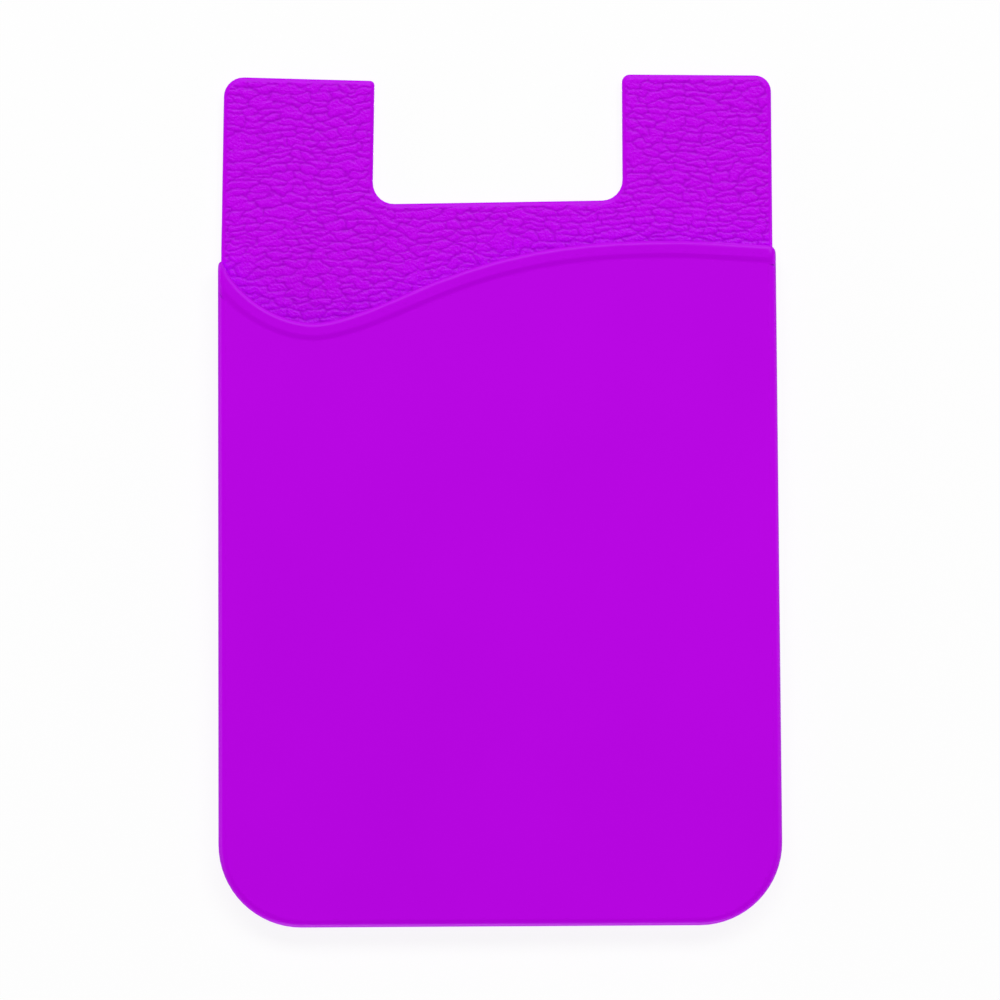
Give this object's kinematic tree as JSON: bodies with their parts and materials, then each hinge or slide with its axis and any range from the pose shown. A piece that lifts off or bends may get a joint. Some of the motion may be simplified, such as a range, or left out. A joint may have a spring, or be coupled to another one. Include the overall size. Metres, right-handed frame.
{
  "type": "stick-on phone card holder",
  "caption": "Flat soft card pocket with a wavy raised lip, grained back plate, thumb notch between tabs and an adhesive back, for the back of a phone.",
  "frame": {"origin": "middle of the footprint, on the underside of the release liner", "axes": "+X across the pocket, +Y from its closed bottom to the tabs, +Z out of its front"},
  "size_m": [0.0572, 0.0864, 0.004],
  "materials": {
    "silicone": "matte moulded silicone, leather-grained above the pocket",
    "adhesive": "translucent acrylic adhesive film",
    "liner_paper": "coated release paper, slight sheen"
  },
  "bodies": {
    "root": {"silicone_body": "silicone", "adhesive_sheet": "adhesive", "release_liner": "liner_paper"}
  },
  "joints": []
}
